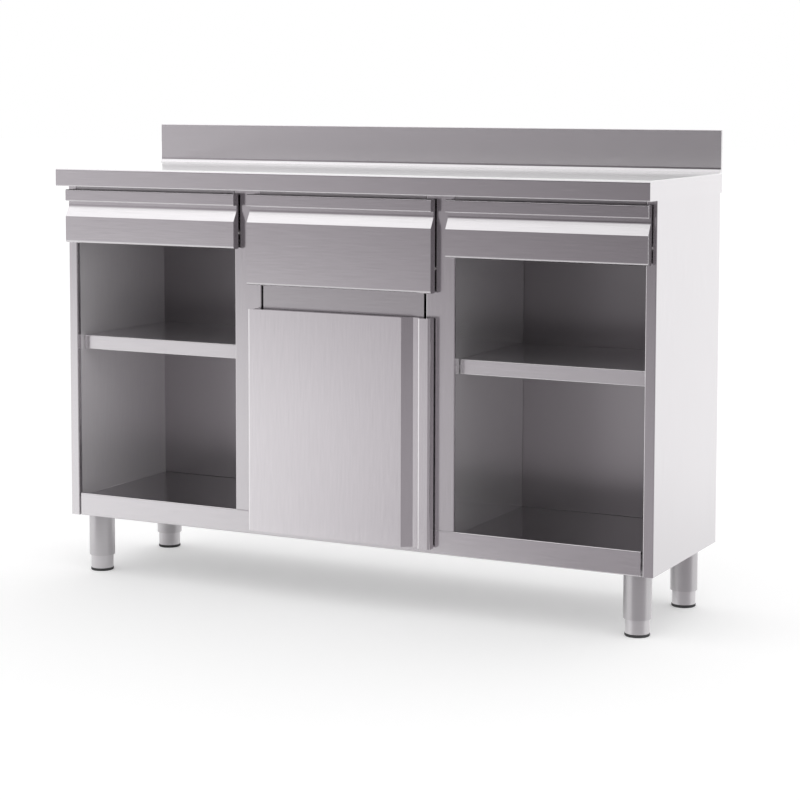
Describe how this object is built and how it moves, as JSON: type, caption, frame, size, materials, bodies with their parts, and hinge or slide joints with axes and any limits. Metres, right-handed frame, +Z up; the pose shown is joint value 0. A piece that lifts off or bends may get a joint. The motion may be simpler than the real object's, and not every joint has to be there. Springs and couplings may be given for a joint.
{
  "type": "coffee machine cabinet",
  "caption": "Free-standing folded stainless cabinet with a worktop and splashback, drawers with pull channels, a hinged door, open shelved bays and adjustable feet.",
  "frame": {"origin": "on the floor below the middle of the worktop, at the bottom centre of the bounding box", "axes": "+X along the length, towards the right as seen from the front; +Y from the front to the back; +Z up"},
  "size_m": [1.6, 0.5, 1.155],
  "materials": {
    "worktop_steel": "fine satin grain along the length",
    "front_steel": "fine satin grain along the length",
    "panel_steel": "fine satin grain",
    "inner_steel": "plain mill finish",
    "leg_steel": "satin tube, ground round its length",
    "zinc": "bright zinc plate",
    "dark_plastic": "moulded, matt",
    "white_plastic": "moulded, matt",
    "dark_rubber": "matt"
  },
  "bodies": {
    "cabinet": {"worktop": "worktop_steel", "worktop_stiffeners": "inner_steel", "side_panel_left": "panel_steel", "side_panel_right": "panel_steel", "side_liner_left": "inner_steel", "side_liner_right": "inner_steel", "divider_left": "panel_steel", "divider_right": "panel_steel", "divider_liner_left": "inner_steel", "divider_liner_right": "inner_steel", "centre_rail": "panel_steel", "base_panel": "panel_steel", "back_panel": "inner_steel", "shelf_left": "panel_steel", "shelf_right": "panel_steel", "shelf_pegs": "dark_plastic", "leg_tube_front_left": "leg_steel", "leg_tube_front_right": "leg_steel", "leg_tube_rear_left": "leg_steel", "leg_tube_rear_right": "leg_steel", "leg_bushes": "dark_plastic", "slide_outer_left": "zinc", "slide_outer_centre": "zinc", "slide_outer_right": "zinc", "hinge_brackets": "inner_steel", "hinge_pins": "zinc", "magnetic_catch": "white_plastic", "bracket_screws": "zinc"},
    "slide_middle_left": {"slide_middle_left": "zinc"},
    "drawer_left": {"drawer_front_left": "front_steel", "drawer_pan_left": "inner_steel", "drawer_box_left": "inner_steel", "slide_inner_left": "zinc", "drawer_buffers_left": "white_plastic"},
    "slide_middle_centre": {"slide_middle_centre": "zinc"},
    "drawer_centre": {"drawer_front_centre": "front_steel", "drawer_pan_centre": "inner_steel", "drawer_box_centre": "inner_steel", "slide_inner_centre": "zinc", "drawer_buffers_centre": "white_plastic", "knock_bar": "leg_steel", "knock_sleeve": "dark_rubber"},
    "slide_middle_right": {"slide_middle_right": "zinc"},
    "drawer_right": {"drawer_front_right": "front_steel", "drawer_pan_right": "inner_steel", "drawer_box_right": "inner_steel", "slide_inner_right": "zinc", "drawer_buffers_right": "white_plastic"},
    "door": {"door_skin": "front_steel", "door_pan": "inner_steel", "door_pivot_blocks": "dark_plastic", "door_strike": "inner_steel"},
    "foot_front_left": {"foot_front_left": "leg_steel", "sole_front_left": "dark_rubber"},
    "foot_front_right": {"foot_front_right": "leg_steel", "sole_front_right": "dark_rubber"},
    "foot_rear_left": {"foot_rear_left": "leg_steel", "sole_rear_left": "dark_rubber"},
    "foot_rear_right": {"foot_rear_right": "leg_steel", "sole_rear_right": "dark_rubber"}
  },
  "joints": [
    {"name": "drawer_left_slide", "type": "slide", "parent": "cabinet", "child": "drawer_left", "axis": [0, -1, 0], "range_m": [0, 0.33]},
    {"name": "slide_middle_left_slide", "type": "slide", "parent": "cabinet", "child": "slide_middle_left", "axis": [0, -1, 0], "range_m": [0, 0.165]},
    {"name": "drawer_centre_slide", "type": "slide", "parent": "cabinet", "child": "drawer_centre", "axis": [0, -1, 0], "range_m": [0, 0.33]},
    {"name": "slide_middle_centre_slide", "type": "slide", "parent": "cabinet", "child": "slide_middle_centre", "axis": [0, -1, 0], "range_m": [0, 0.165]},
    {"name": "drawer_right_slide", "type": "slide", "parent": "cabinet", "child": "drawer_right", "axis": [0, -1, 0], "range_m": [0, 0.33]},
    {"name": "slide_middle_right_slide", "type": "slide", "parent": "cabinet", "child": "slide_middle_right", "axis": [0, -1, 0], "range_m": [0, 0.165]},
    {"name": "door_hinge", "type": "hinge", "parent": "cabinet", "child": "door", "pos_m": [-0.239, -0.2145, 0.44], "axis": [0, 0, -1], "range_deg": [0, 105]},
    {"name": "foot_front_left_screw", "type": "slide", "parent": "cabinet", "child": "foot_front_left", "axis": [0, 0, -1], "range_m": [-0.015, 0.025]},
    {"name": "foot_front_right_screw", "type": "slide", "parent": "cabinet", "child": "foot_front_right", "axis": [0, 0, -1], "range_m": [-0.015, 0.025]},
    {"name": "foot_rear_left_screw", "type": "slide", "parent": "cabinet", "child": "foot_rear_left", "axis": [0, 0, -1], "range_m": [-0.015, 0.025]},
    {"name": "foot_rear_right_screw", "type": "slide", "parent": "cabinet", "child": "foot_rear_right", "axis": [0, 0, -1], "range_m": [-0.015, 0.025]}
  ],
  "couplings": [
    {"joint": "slide_middle_left_slide", "follows": "drawer_left_slide", "ratio": 0.5},
    {"joint": "slide_middle_centre_slide", "follows": "drawer_centre_slide", "ratio": 0.5},
    {"joint": "slide_middle_right_slide", "follows": "drawer_right_slide", "ratio": 0.5}
  ]
}
